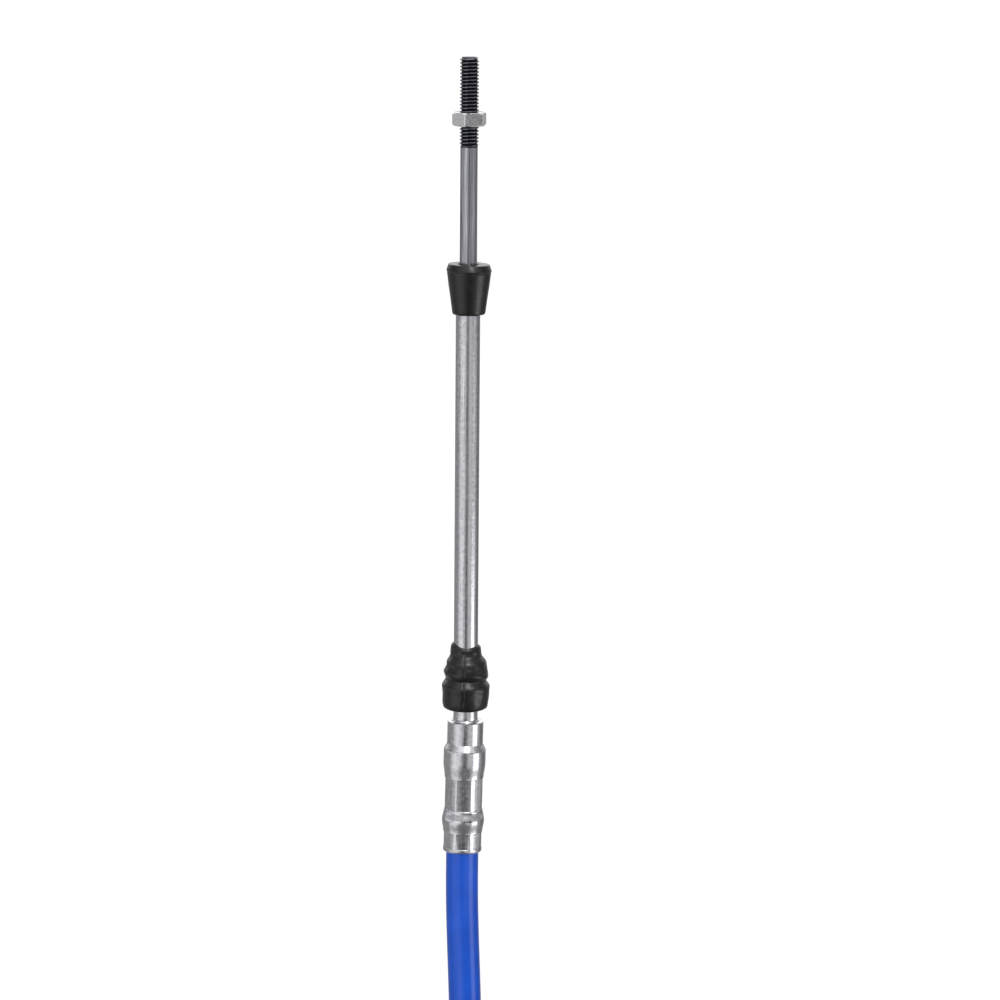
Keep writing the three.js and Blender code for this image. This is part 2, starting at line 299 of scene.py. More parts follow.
for number, angle in enumerate(tie_angles, 1):
    build = bmesh.new()
    half = tie_width / 2
    outer = tie_clearance + tie_thickness
    section = [
        (tie_clearance, -half + tie_round),
        (tie_clearance + tie_round, -half),
        (outer - tie_round, -half),
        (outer - tie_round * 0.3, -half + tie_round * 0.3),
        (outer, -half + tie_round),
        (outer, -half + tie_round * 3),
        (outer - tie_groove, -half + tie_round * 3.6),
        (outer - tie_groove, half - tie_round * 3.6),
        (outer, half - tie_round * 3),
        (outer, half - tie_round),
        (outer - tie_round * 0.3, half - tie_round * 0.3),
        (outer - tie_round, half),
        (tie_clearance + tie_round, half),
        (tie_clearance, half - tie_round),
    ]
    rings = [[(x, across, z) for x, z in tie_outline(outside)] for outside, across in section]
    ring_skin(build, rings, closed=True)
    inner = coil_inner - conduit_diameter / 2 - head_gap
    head_x = inner - head_depth / 2 - tie_thickness / 2
    head_z = (low_inner[1] + mid_inner[1]) / 2
    add_box(build, (head_x, 0, head_z), (head_depth, head_width, head_width), 0.45 * mm)
    add_box(build, (head_x - 0.5 * mm, 0, head_z), pawl_size, 0.2 * mm)
    add_box(build, (head_x + 0.4 * mm, 0, head_z + tail_length / 2), tail_size, 0.15 * mm)
    teeth = int((tail_length - head_width / 2) / tooth_pitch) - 1
    for tooth in range(teeth):
        height = head_z + head_width / 2 + (tooth + 0.8) * tooth_pitch
        add_box(build, (head_x - 0.1 * mm, 0, height), tooth_size, 0.08 * mm)
    spin = Matrix.Rotation(math.pi + math.radians(angle), 4, "Z")
    tie = finished(build, f"cable_tie_{number}", Matrix.Translation((coil_outer, coil_y, 0)) @ spin)
    tie.data.materials.append(black_nylon)
    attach(tie, "cable")
    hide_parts(f"coil_tie_{number}")

# Hubs
# Each hub is a stainless steel sleeve, turned and polished, with the tube's ball in its nose. Eight jaws
# have pressed it onto the conduit, in the groove that the clamp holds and again at its end.
nose_radius = 4.72
barrel_radius = 5.54
belly_radius = 5.58
blank_radius = 5.14
rim_radius = 5.1
mouth_radius = 3.56
hub_sides = 256

# What the jaws pressed: half the width across flats, and where the flats begin and end. Past a flat's end
# the metal rises by a small ledge and then in a curve
jaws = 8
crimps = [(4.92, 15.24, 23.5), (4.96, 29.75, 33.7)]
jaw_crown = 13.5
jaw_ledge = 0.24
ledge_length = 0.4
jaw_curve = 1.2

# Where each end fitting lies; the first hub lies turned a little on its ball
hub_turn = {"a": math.radians(-1.1), "b": 0}
ends = {
    "a": Matrix.Translation((0, face_a, axis_height)),
    "b": Matrix.Translation((0, face_b, axis_height)) @ Matrix.Rotation(math.pi, 4, "Z"),
}

# The turned nose and its shoulder, and the rolled rim, as radius and distance from the hub's face
hub_nose = [
    (3.75, 1.2), (mouth_radius, 0.6), (mouth_radius, 0.12), (mouth_radius + 0.12, 0), (4.5, 0), (4.6, 0.03),
    (4.69, 0.1), (nose_radius, 0.22), (nose_radius, 0.35), (nose_radius, 3), (nose_radius, 5.85),
    (nose_radius, 5.98), (4.76, 6.08), (4.85, 6.25), (5.1, 6.75), (5.34, 7.2), (5.43, 7.4), (5.49, 7.58),
    (5.52, 7.75), (5.525, 7.95),
]
hub_rim = [(5.08, 34.5), (5.02, 34.7), (4.86, hub_length), (4.42, hub_length), (4.32, 34.7), (4.32, 33.5)]
# Between them the sleeve swells and narrows: distance from the face and radius
hub_swell = [
    (8.2, 5.53), (11.2, barrel_radius), (15, blank_radius), (23.7, blank_radius), (26.5, belly_radius),
    (29.6, blank_radius + 0.02), (33.6, rim_radius - 0.02), (34.3, rim_radius),
]


def swelling(stations, place):
    """The radius at a place between stations, easing from each to the next."""
    for (begin, first), (end, second) in zip(stations, stations[1:]):
        if place <= end:
            return first + (second - first) * eased((place - begin) / (end - begin))
    return stations[-1][1]


def pressed(radius, place, angle):
    """The hub's radius where a jaw has pressed its slightly crowned flat into the blank."""
    sector = 2 * math.pi / jaws
    off = (angle + sector / 2) % sector - sector / 2
    for flat, begin, end in crimps:
        outside = max(begin - place, place - end, 0)
        centre = flat - jaw_crown
        face = centre * math.cos(off) + math.sqrt(jaw_crown**2 - (centre * math.sin(off)) ** 2)
        radius = min(radius, face + jaw_ledge * eased(outside / ledge_length) + jaw_curve * outside**2)
    return radius


def turned_rings(outline, sides, radius_at=None):
    """Rings round the end's own Y axis from an outline in millimetres, as an angle from straight up."""
    rings = []
    for radius, place in outline:
        ring = []
        for side in range(sides):
            angle = 2 * math.pi * side / sides
            out = radius_at(radius, place, angle) if radius_at else radius
            ring.append((out * mm * math.sin(angle), -place * mm, out * mm * math.cos(angle)))
        rings.append(ring)
    return rings


# Polished stainless steel: mirror bands along it, broken by fine lines from polishing and a light cloud
bright_steel = bpy.data.materials.new("polished_stainless_steel")
bright_steel.use_nodes = True
tree = bright_steel.node_tree
surface = tree.nodes["Principled BSDF"]
surface.inputs["Metallic"].default_value = 1
place = add_node(tree, "ShaderNodeTexCoord").outputs["Object"]
along = add_node(tree, "ShaderNodeMapping", {"Vector": place, "Scale": (5200, 160, 5200)})
lines = add_node(tree, "ShaderNodeTexNoise", {"Vector": along, "Scale": 1, "Detail": 4})
cloud = add_node(tree, "ShaderNodeTexNoise", {"Vector": place, "Scale": 1 / (0.9 * mm), "Detail": 5})
both = add_node(tree, "ShaderNodeMath", {0: lines, 1: cloud}, operation="ADD")
tint = add_node(tree, "ShaderNodeMapRange", {"Value": both, "From Min": 0.7, "From Max": 1.3})
shade = add_node(tree, "ShaderNodeValToRGB", {"Fac": tint})
shade.color_ramp.elements[0].color = colour("#b6b5bb")
shade.color_ramp.elements[1].color = colour("#d6d5da")
tree.links.new(shade.outputs["Color"], surface.inputs["Base Color"])
gloss = add_node(tree, "ShaderNodeMapRange", {"Value": tint, "To Min": 0.1, "To Max": 0.24})
tree.links.new(gloss.outputs["Result"], surface.inputs["Roughness"])
scratch = add_node(tree, "ShaderNodeBump", {"Height": both, "Strength": 0.3, "Distance": 0.012 * mm})
tree.links.new(scratch.outputs["Normal"], surface.inputs["Normal"])

# Rings every half millimetre, and close together where the metal rises past a flat's end
swell_begin, swell_end = hub_swell[0][0], hub_swell[-1][0]
places = {swell_begin + 0.5 * n for n in range(52)} | {place for place, _ in hub_swell}
for _, begin, end in crimps:
    places |= {begin - 0.035 * n for n in range(14)} | {end + 0.035 * n for n in range(14)}
places = sorted(place for place in places if swell_begin <= place <= swell_end)
sleeve = [(swelling(hub_swell, place), place) for place in places]
for letter, put in ends.items():
    build = bmesh.new()
    ring_skin(build, turned_rings(hub_nose + sleeve + hub_rim, hub_sides, pressed), closed=True)
    to_ball = Matrix.Translation((0, ball_depth * mm, 0))
    turn = to_ball.inverted() @ Matrix.Rotation(hub_turn[letter], 4, "Z") @ to_ball
    hub = finished(build, f"crimped_hub_{letter}", put @ turn, sharp=20)
    hub.data.materials.append(bright_steel)
    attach(hub, "cable")
    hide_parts(f"hub_{letter}")

# Support tubes
# A drawn stainless steel tube guides the rod. Its lower end is swaged to a ball that swivels in the hub.
tube_radius = 3.175
tube_bore = 2.5
ball_radius = 3.75
ball_opening = 2.9
ball_steps = 12
neck_radius = 3.24
tube_chamfer = 0.15
tube_sides = 96

# Drawn stainless tube: the hub's metal, with coarser lines along it from the drawing die
drawn_steel = bright_steel.copy()
drawn_steel.name = "drawn_stainless_tube"
tree = drawn_steel.node_tree
for mapping in (n for n in tree.nodes if n.type == "MAPPING"):
    mapping.inputs["Scale"].default_value = (3600, 60, 3600)

for letter, put in ends.items():
    low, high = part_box(f"support_tube_{letter}")
    reach = {"a": high.y - face_a, "b": face_b - low.y}[letter] / mm
    lowest = {"a": low.y - face_a, "b": face_b - high.y}[letter] / mm
    begin = math.asin(ball_opening / ball_radius)
    ball_centre = lowest + ball_radius * math.cos(begin)
    tube_outline = [(tube_bore, -lowest)]
    neck = math.pi - math.asin(tube_radius / ball_radius)
    for step in range(ball_steps + 1):
        angle = begin + (neck - begin) * step / ball_steps
        tube_outline.append((ball_radius * math.sin(angle), -ball_centre + ball_radius * math.cos(angle)))
    tube_outline += [(neck_radius, -ball_centre - 2.3), (tube_radius, -ball_centre - 3)]
    tube_outline += [(tube_radius, -reach * share / 6) for share in range(1, 6)]
    tube_outline += [(tube_radius, -reach + tube_chamfer), (tube_radius - tube_chamfer, -reach)]
    tube_outline.append((tube_bore, -reach))
    build = bmesh.new()
    ring_skin(build, turned_rings(tube_outline, tube_sides), closed=True)
    tube = finished(build, f"drawn_tube_{letter}", put)
    tube.data.materials.append(drawn_steel)
    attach(tube, f"sleeve_{letter}")
    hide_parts(f"support_tube_{letter}")

# Swivel boots
# A moulded rubber boot keeps dirt off the ball. It is slid up the tube: a thin collar grips the tube, a
# soft fold hangs below it, and the cup that fits the hub's nose is open below. A mould seam runs down its
# front.
boot_sides = 180
rows_per_section = 4
seam_angle = -0.1
seam_width = 0.035
seam_depth = 0.09

# The outside from the mouth up to the collar's lip, as (distance from the hub's face, radius) on the boot's
# left, front and right: the fold hangs lower on the right, and the lip is drawn down in front
boot_sections = [
    ((3.4, 4.95), (3.15, 4.95), (3.35, 4.9)), ((3.5, 5.4), (3.25, 5.35), (3.45, 5.3)),
    ((3.95, 5.85), (3.65, 5.75), (3.9, 5.7)), ((5.2, 6.08), (5.1, 6.03), (5.2, 5.97)),
    ((8, 6.07), (7.6, 6.15), (7.6, 6.2)), ((9.4, 6.28), (8.9, 6.26), (8.8, 6.3)),
    ((10, 6.12), (9.6, 6.12), (9.6, 6.22)), ((10.6, 5.75), (10.25, 5.8), (10.3, 5.75)),
    ((11.5, 5.25), (11.05, 5.3), (10.95, 5.34)), ((12.15, 5.45), (11.5, 5.5), (11.3, 5.6)),
    ((13.2, 5.8), (12.6, 5.8), (11.9, 5.88)), ((14, 5.5), (13.8, 5.66), (13.3, 5.75)),
    ((14.9, 5.07), (15, 5.5), (15, 5.53)), ((15.9, 5), (15.9, 5.25), (16, 5.28)),
    ((16.9, 4.5), (16.8, 4.55), (16.9, 4.68)), ((17.7, 4.1), (17.5, 4.1), (17.6, 4.15)),
    ((19.3, 4.02), (18.6, 4), (19, 3.98)), ((20.3, 3.86), (19.3, 3.88), (19.8, 3.82)),
    ((20.8, 3.5), (19.72, 3.55), (20.2, 3.5)), ((20.7, 3.25), (19.66, 3.26), (20.1, 3.25)),
]
boot_lining = [(18, 3.22), (12, 3.22), (10, 3.3), (8.6, 4.6), (8, 4.9), (5, 4.9), (4.2, 4.7), (3.7, 4.5)]

# Small marks left by the mould and by use: angle, distance, half widths along and round, depth
boot_marks = [
    (-0.08, 18.3, 0.35, 0.11, 0.4), (-0.16, 18.75, 0.2, 0.06, 0.25), (-0.03, 11.4, 0.3, 0.1, 0.3),
    (0.32, 14.6, 0.22, 0.3, 0.06), (0.6, 13.1, 0.2, 0.35, 0.05), (0.5, 11.9, 0.18, 0.4, 0.05),
    (0.62, 7.4, 1.6, 0.16, 0.14), (0.95, 5.4, 1.4, 0.2, 0.1),
]


def smoothed(rows, steps):
    """Rows of numbers with steps more rows to each, on a curve that passes through all of them."""
    ends_held = [rows[0], *rows, rows[-1]]
    curve = []
    for a, b, c, d in zip(ends_held, ends_held[1:], ends_held[2:], ends_held[3:]):
        for step in range(steps):
            t = step / steps
            row = []
            for p, q, r, o in zip(a, b, c, d):
                bend = 2 * p - 5 * q + 4 * r - o
                row.append(q + t * ((r - p) + t * (bend + t * (3 * (q - r) + o - p))) / 2)
            curve.append(row)
    return curve + [list(rows[-1])]


def boot_point(section, angle):
    """A point of the boot's skin at an angle from straight up: its sides blend into its front and back."""
    left, front, right = section[0:2], section[2:4], section[4:6]
    side = math.sin(angle)
    share = side * side
    beside = right if side > 0 else left
    way = front[0] + (beside[0] - front[0]) * share
    radius = front[1] + (beside[1] - front[1]) * share
    off_seam = (angle - seam_angle - 0.03 * math.sin(way)) / seam_width
    radius -= seam_depth * math.exp(-(off_seam**2))
    for turned, place, along_it, round_it, depth in boot_marks:
        off_mark = ((way - place) / along_it) ** 2 + ((angle - turned) / round_it) ** 2
        radius -= depth * math.exp(-off_mark)
    radius += 0.02 * math.sin(5 * angle + way * 1.9) + 0.015 * math.sin(11 * angle - way * 2.3)
    return (radius * mm * math.sin(angle), way * mm, radius * mm * math.cos(angle))


# Moulded nitrile rubber: near black with a patchy dull bloom and fine pores
black_rubber = bpy.data.materials.new("moulded_black_rubber")
black_rubber.use_nodes = True
tree = black_rubber.node_tree
surface = tree.nodes["Principled BSDF"]
surface.inputs["IOR"].default_value = 1.52
place = add_node(tree, "ShaderNodeTexCoord").outputs["Object"]
bloom = add_node(tree, "ShaderNodeTexNoise", {"Vector": place, "Scale": 1 / (1.8 * mm), "Detail": 5})
shade = add_node(tree, "ShaderNodeValToRGB", {"Fac": bloom})
shade.color_ramp.elements[0].color = colour("#060606")
shade.color_ramp.elements[0].position = 0.35
shade.color_ramp.elements[1].color = colour("#0f0f10")
shade.color_ramp.elements[1].position = 0.7
tree.links.new(shade.outputs["Color"], surface.inputs["Base Color"])
gloss = add_node(tree, "ShaderNodeMapRange", {"Value": bloom, "To Min": 0.16, "To Max": 0.36})
tree.links.new(gloss.outputs["Result"], surface.inputs["Roughness"])
pores = add_node(tree, "ShaderNodeTexNoise", {"Vector": place, "Scale": 1 / (0.4 * mm), "Detail": 5})
skin = add_node(tree, "ShaderNodeBump", {"Height": pores, "Strength": 0.6, "Distance": 0.06 * mm})
tree.links.new(skin.outputs["Normal"], surface.inputs["Normal"])

boot_rows = [(*left, *front, *right) for left, front, right in boot_sections]
boot_rows = smoothed(boot_rows, rows_per_section)
boot_rows += [(way, radius) * 3 for way, radius in boot_lining]
for letter, put in ends.items():
    build = bmesh.new()
    angles = [2 * math.pi * side / boot_sides - math.pi for side in range(boot_sides)]
    ring_skin(build, [[boot_point(row, angle) for angle in angles] for row in boot_rows], closed=True)
    boot = finished(build, f"rubber_boot_{letter}", put, sharp=60)
    boot.data.materials.append(black_rubber)
    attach(boot, f"sleeve_{letter}")
    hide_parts(f"swivel_boot_{letter}")

# Rod seals
# A conical rubber cap is pushed over the tube's end and wipes the rod. It has a flat shiny top, a short
# bevel and a long plain taper, and sits a little askew. Its bore lets the thread's crests pass.
seal_bottom = 107.2
seal_top = 120.3
seal_sides = 120
seal_off_centre = 0.2
seal_tilt = 0.028
wavy_edge = 0.09
wavy_height = 0.8
skin_begins = 3.3
seal_outline = [
    (3.3, seal_bottom + 0.25), (3.45, seal_bottom + 0.05), (3.7, seal_bottom), (4.02, seal_bottom + 0.08),
    (4.24, seal_bottom + 0.3), (4.33, seal_bottom + 0.7), (4.45, seal_bottom + 1.6),
    (4.87, seal_bottom + 4.6), (5.26, seal_bottom + 7.4), (5.66, seal_bottom + 10.4),
    (5.75, seal_top - 2.1), (5.74, seal_top - 1.9), (5.84, seal_top - 1.78), (5.87, seal_top - 1.66),
    (5.84, seal_top - 1.5), (5.6, seal_top - 0.8), (5.4, seal_top - 0.22), (5.34, seal_top - 0.08),
    (5.22, seal_top), (4.2, seal_top + 0.02), (3, seal_top), (2.78, seal_top - 0.12),
    (2.65, seal_top - 0.4), (2.65, seal_top - 2.5), (3.25, seal_top - 2.5), (3.25, seal_bottom + 5),
]

for letter, put in ends.items():
    build = bmesh.new()
    rings = []
    for radius, way in seal_outline:
        ring = []
        for side in range(seal_sides):
            angle = 2 * math.pi * side / seal_sides
            low = math.exp(-(((way - seal_bottom) / wavy_height) ** 2))
            outer = eased((radius - skin_begins) / 0.6)
            out = radius + outer * (seal_off_centre * math.sin(angle) + 0.015 * math.sin(4 * angle + way))
            ragged = low * outer * wavy_edge * math.sin(6 * angle + 1.6) * math.sin(angle * 2.5)
            x = out * math.sin(angle)
            high = (way - seal_bottom) / (seal_top - seal_bottom)
            ring.append((x * mm, (way - seal_tilt * high * x + ragged) * mm, out * mm * math.cos(angle)))
        rings.append(ring)
    ring_skin(build, rings, closed=True)
    seal = finished(build, f"rubber_seal_{letter}", put)
    seal.data.materials.append(black_rubber)
    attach(seal, f"sleeve_{letter}")
    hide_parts(f"rod_seal_{letter}")

# End rods
# A ground steel rod slides in the tube. Its outer 23 mm has a rolled thread with a chamfered tip, painted
# darker than the shank and darkest in its roots: painted shade in its grooves.
rod_radius = 2.25
crest_radius = 2.5
root_radius = 2.04
thread_pitch = 0.893
thread_length = 23.1
tip_radius = 1.95
run_out_turns = 0.9
rod_sides = 60
rows_per_pitch = 8
thread_turns = math.ceil(thread_length / thread_pitch) + 1

# The thread is a sheet, one turn wide and many long, wound round the rod's axis with its rows along the
# helix. Its attribute tells the material how high a point lies between root and crest
threading = bpy.data.node_groups.new("rolled_thread", "GeometryNodeTree")
threading.is_modifier = True
interface = threading.interface
interface.new_socket("Geometry", in_out="INPUT", socket_type="NodeSocketGeometry")
thread_sizes = {
    "Crest radius": crest_radius * mm,
    "Root radius": root_radius * mm,
    "Shank radius": rod_radius * mm,
    "Tip radius": tip_radius * mm,
    "Pitch": thread_pitch * mm,
    "Length": thread_length * mm,
}
for size in thread_sizes:
    interface.new_socket(size, in_out="INPUT", socket_type="NodeSocketFloat")
interface.new_socket("Material", in_out="INPUT", socket_type="NodeSocketMaterial")
interface.new_socket("Geometry", in_out="OUTPUT", socket_type="NodeSocketGeometry")
tree = threading
given = add_node(tree, "NodeGroupInput").outputs
sheet = add_node(
    tree,
    "GeometryNodeMeshGrid",
    {
        "Size X": 1.0,
        "Size Y": float(thread_turns),
        "Vertices X": rod_sides + 1,
        "Vertices Y": thread_turns * rows_per_pitch + 1,
    },
)
position = add_node(tree, "GeometryNodeInputPosition")
spot = add_node(tree, "ShaderNodeSeparateXYZ", {"Vector": position}).outputs
wound = add_node(tree, "ShaderNodeMath", {0: spot["X"], 1: spot["Y"]}, operation="ADD")
turn = add_node(tree, "ShaderNodeMath", {0: wound, 1: thread_turns / 2 - 0.5}, operation="ADD")
last_turn = add_node(tree, "ShaderNodeMath", {0: given["Length"], 1: given["Pitch"]}, operation="DIVIDE")
way = add_node(
    tree, "ShaderNodeMapRange", {"Value": turn, "From Max": last_turn, "To Max": given["Length"]}
)
from_root = add_node(tree, "ShaderNodeMath", {0: spot["Y"], 1: 0.5}, operation="PINGPONG")
height = add_node(
    tree,
    "ShaderNodeMapRange",
    {"Value": from_root, "From Min": 0.08, "From Max": 0.42},
    interpolation_type="SMOOTHSTEP",
)
full = add_node(
    tree,
    "ShaderNodeMapRange",
    {"Value": height, "To Min": given["Root radius"], "To Max": given["Crest radius"]},
)
left = add_node(tree, "ShaderNodeMath", {0: last_turn, 1: turn}, operation="SUBTRACT")
run_out = add_node(
    tree,
    "ShaderNodeMapRange",
    {"Value": left, "From Max": run_out_turns, "To Min": given["Shank radius"], "To Max": full},
    interpolation_type="SMOOTHSTEP",
)
chamfer = add_node(tree, "ShaderNodeMath", {0: given["Tip radius"], 1: way}, operation="ADD")
radius = add_node(tree, "ShaderNodeMath", {0: run_out, 1: chamfer}, operation="MINIMUM")
back = add_node(tree, "ShaderNodeMath", {0: way, 1: -1.0}, operation="MULTIPLY")
straight = add_node(tree, "ShaderNodeCombineXYZ", {"Y": back, "Z": radius})
angle = add_node(tree, "ShaderNodeMath", {0: spot["X"], 1: -2 * math.pi}, operation="MULTIPLY")
round_rod = add_node(
    tree,
    "ShaderNodeVectorRotate",
    {"Vector": straight, "Axis": (0, 1, 0), "Angle": angle},
    rotation_type="AXIS_ANGLE",
)
depth = add_node(tree, "ShaderNodeMapRange", {"Value": height, "To Min": 0.25, "To Max": 1.0})
marked = add_node(
    tree,
    "GeometryNodeStoreNamedAttribute",
    {"Geometry": sheet, "Name": "thread", "Value": depth},
    data_type="FLOAT",
    domain="POINT",
)
coiled = add_node(tree, "GeometryNodeSetPosition", {"Geometry": marked, "Position": round_rod})
joined = add_node(tree, "GeometryNodeJoinGeometry", {0: given["Geometry"]})
tree.links.new(coiled.outputs[0], joined.inputs[0])
welded = add_node(tree, "GeometryNodeMergeByDistance", {"Geometry": joined, "Distance": 2e-6})
real = add_node(tree, "GeometryNodeRealizeInstances", {"Geometry": welded})
dressed = add_node(tree, "GeometryNodeSetMaterial", {"Geometry": real, "Material": given["Material"]})
add_node(tree, "NodeGroupOutput", {"Geometry": dressed})

# Ground low-carbon steel: satin grey with grinding lines along it. The rolled thread's colour is painted
# darker from crest to root, near black in its roots: painted shade in the thread's grooves
rod_steel = bpy.data.materials.new("ground_rod_steel")
rod_steel.use_nodes = True
tree = rod_steel.node_tree
surface = tree.nodes["Principled BSDF"]
surface.inputs["Metallic"].default_value = 1
place = add_node(tree, "ShaderNodeTexCoord").outputs["Object"]
along = add_node(tree, "ShaderNodeMapping", {"Vector": place, "Scale": (4000, 90, 4000)})
lines = add_node(tree, "ShaderNodeTexNoise", {"Vector": along, "Scale": 1, "Detail": 4})
shade = add_node(tree, "ShaderNodeValToRGB", {"Fac": lines})
shade.color_ramp.elements[0].color = colour("#84848b")
shade.color_ramp.elements[0].position = 0.3
shade.color_ramp.elements[1].color = colour("#b6b6be")
shade.color_ramp.elements[1].position = 0.7
# Painted shade: the thread's colour runs from near black in its roots to light grey on its crests
threaded = add_node(tree, "ShaderNodeAttribute", attribute_name="thread").outputs["Fac"]
painted_root_shade = add_node(tree, "ShaderNodeValToRGB", {"Fac": threaded})
painted_root_shade.color_ramp.elements[0].color = colour("#ffffff")
painted_root_shade.color_ramp.elements[1].color = colour("#c4c4cc")
for share, code in ((0.2, "#2c2c30"), (0.55, "#4c4c52")):
    painted_root_shade.color_ramp.elements.new(share).color = colour(code)
mixed = add_node(
    tree, "ShaderNodeMix", {"Factor": 1.0, "A": shade, "B": painted_root_shade}, data_type="RGBA", blend_type="MULTIPLY"
)
tree.links.new(mixed.outputs["Result"], surface.inputs["Base Color"])
gloss = add_node(tree, "ShaderNodeMapRange", {"Value": lines, "To Min": 0.14, "To Max": 0.32})
tree.links.new(gloss.outputs["Result"], surface.inputs["Roughness"])
scratch = add_node(tree, "ShaderNodeBump", {"Height": lines, "Strength": 0.3, "Distance": 0.01 * mm})
tree.links.new(scratch.outputs["Normal"], surface.inputs["Normal"])

for letter, put in ends.items():
    low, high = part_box(f"end_rod_{letter}")
    length = (high.y - low.y) / mm
    to_tip = {"a": high.y - face_a, "b": face_b - low.y}[letter]
    plain_length = length - thread_length
    shank = [(rod_radius, thread_length + plain_length * ring / 8) for ring in range(8)]
    shank.insert(1, (rod_radius, thread_length + 0.12))
    shank += [(rod_radius, length - 0.5), (rod_radius - 0.5, length), (0, length)]
    build = bmesh.new()
    ring_skin(build, turned_rings(shank, rod_sides), closed=False)
    ring_skin(build, turned_rings([(0, 0), (tip_radius, 0)], rod_sides), closed=False)
    bmesh.ops.remove_doubles(build, verts=build.verts, dist=0.5e-6)
    plain = bpy.data.meshes.new(f"plain_rod_{letter}")
    build.to_mesh(plain)
    blank = bpy.data.objects.new(f"plain_rod_{letter}", plain)
    bpy.context.collection.objects.link(blank)
    thread = blank.modifiers.new("thread", "NODES")
    thread.node_group = threading
    sizes = dict(thread_sizes, Material=rod_steel)
    for item in interface.items_tree:
        if item.in_out == "INPUT" and item.name in sizes:
            thread[item.identifier] = sizes[item.name]
    bpy.context.view_layer.update()
    cut = bpy.data.meshes.new_from_object(blank.evaluated_get(bpy.context.evaluated_depsgraph_get()))
    bpy.data.objects.remove(blank)
    build.clear()
    build.from_mesh(cut)
    rod = finished(build, f"threaded_rod_{letter}", put @ Matrix.Translation((0, to_tip, 0)), sharp=50)
    rod.data.materials.append(rod_steel)
    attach(rod, f"rod_{letter}")
    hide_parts(f"end_rod_{letter}")

# Jam nuts
# A hexagon nut of zinc-plated steel, chamfered at its corners, run down the thread by hand.
nut_flats = 7.98
nut_corner = 4.53
nut_turn = math.radians(15.9)
nut_bore = 2.52
nut_face = 3.9
chamfer_slope = 0.72
side_degrees = (-28.5, -27, -18, -9, 0, 9, 18, 27, 28.5, 30)

# Thin bright zinc on steel: light grey with a slight mottle and shallow dents from other nuts in its box
zinc = bpy.data.materials.new("bright_zinc_plate")
zinc.use_nodes = True
tree = zinc.node_tree
surface = tree.nodes["Principled BSDF"]
surface.inputs["Metallic"].default_value = 1
place = add_node(tree, "ShaderNodeTexCoord").outputs["Object"]
mottle = add_node(tree, "ShaderNodeTexNoise", {"Vector": place, "Scale": 1 / (0.5 * mm), "Detail": 6})
shade = add_node(tree, "ShaderNodeValToRGB", {"Fac": mottle})
shade.color_ramp.elements[0].color = colour("#b4b4b6")
shade.color_ramp.elements[0].position = 0.35
shade.color_ramp.elements[1].color = colour("#cdcdcf")
shade.color_ramp.elements[1].position = 0.65
tree.links.new(shade.outputs["Color"], surface.inputs["Base Color"])
gloss = add_node(tree, "ShaderNodeMapRange", {"Value": mottle, "To Min": 0.07, "To Max": 0.2})
tree.links.new(gloss.outputs["Result"], surface.inputs["Roughness"])
dents = add_node(tree, "ShaderNodeBump", {"Height": mottle, "Strength": 0.2, "Distance": 0.015 * mm})
tree.links.new(dents.outputs["Normal"], surface.inputs["Normal"])

for letter, put in ends.items():
    low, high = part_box(f"jam_nut_{letter}")
    half = (high.y - low.y) / 2 / mm
    rings = [[] for _ in range(10)]
    for side in range(6):
        for off in side_degrees:
            angle = math.radians(60 * side + off) + nut_turn
            flat = min(nut_flats / 2 / math.cos(math.radians(off)), nut_corner)
            edge = half - (flat - nut_face) * chamfer_slope - 0.05
            upper = [(nut_bore, half - 0.45), (nut_bore + 0.3, half), (nut_face - 0.2, half)]
            upper += [(nut_face, half - 0.03), (flat, edge)]
            rows = upper + [(radius, -way) for radius, way in reversed(upper)]
            for ring, (radius, way) in zip(rings, rows):
                ring.append((radius * mm * math.sin(angle), way * mm, radius * mm * math.cos(angle)))
    build = bmesh.new()
    ring_skin(build, rings, closed=True)
    along_end = {"a": high.y - face_a, "b": face_b - low.y}[letter] - half * mm
    nut = finished(build, f"hexagon_nut_{letter}", put @ Matrix.Translation((0, along_end, 0)), sharp=25)
    nut.data.materials.append(zinc)
    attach(nut, f"nut_{letter}")
    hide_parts(f"jam_nut_{letter}")

# Studio
# A plain white table, soft light from all round and one small softbox on the right. Polished metal mirrors
# a room of bright and dark bands, with a dark gap overhead where the camera stands.
floor_half = 3
corners = [(-floor_half, -floor_half, 0), (floor_half, -floor_half, 0)]
corners += [(floor_half, floor_half, 0), (-floor_half, floor_half, 0)]
floor_mesh = bpy.data.meshes.new("floor")
floor_mesh.from_pydata(corners, [], [(0, 1, 2, 3)])
floor = bpy.data.objects.new("floor", floor_mesh)
bpy.context.collection.objects.link(floor)
floor.visible_glossy = False
floor.visible_diffuse = False
white = bpy.data.materials.new("white_table")
white.use_nodes = True
surface = white.node_tree.nodes["Principled BSDF"]
surface.inputs["Base Color"].default_value = colour("#b8b8b8")
surface.inputs["Roughness"].default_value = 1
surface.inputs["Specular IOR Level"].default_value = 0
surface.inputs["Emission Color"].default_value = (1, 1, 1, 1)
surface.inputs["Emission Strength"].default_value = 0.7
floor_mesh.materials.append(white)

# The softbox lights the hub, the boot and the jacket
box_distance = 0.55
box_along = -0.065
box_bearing = math.radians(66)
softbox = bpy.data.lights.new("right_softbox", "AREA")
softbox.shape = "RECTANGLE"
softbox.size = 0.31
softbox.size_y = 0.19
softbox.energy = 0.32
right_light = bpy.data.objects.new("right_softbox", softbox)
right_light.visible_camera = False
box_place = Vector((math.sin(box_bearing), box_along / box_distance, math.cos(box_bearing))) * box_distance
right_light.matrix_world = Matrix.Translation(box_place) @ Matrix.Rotation(box_bearing, 4, "Y")
bpy.context.collection.objects.link(right_light)

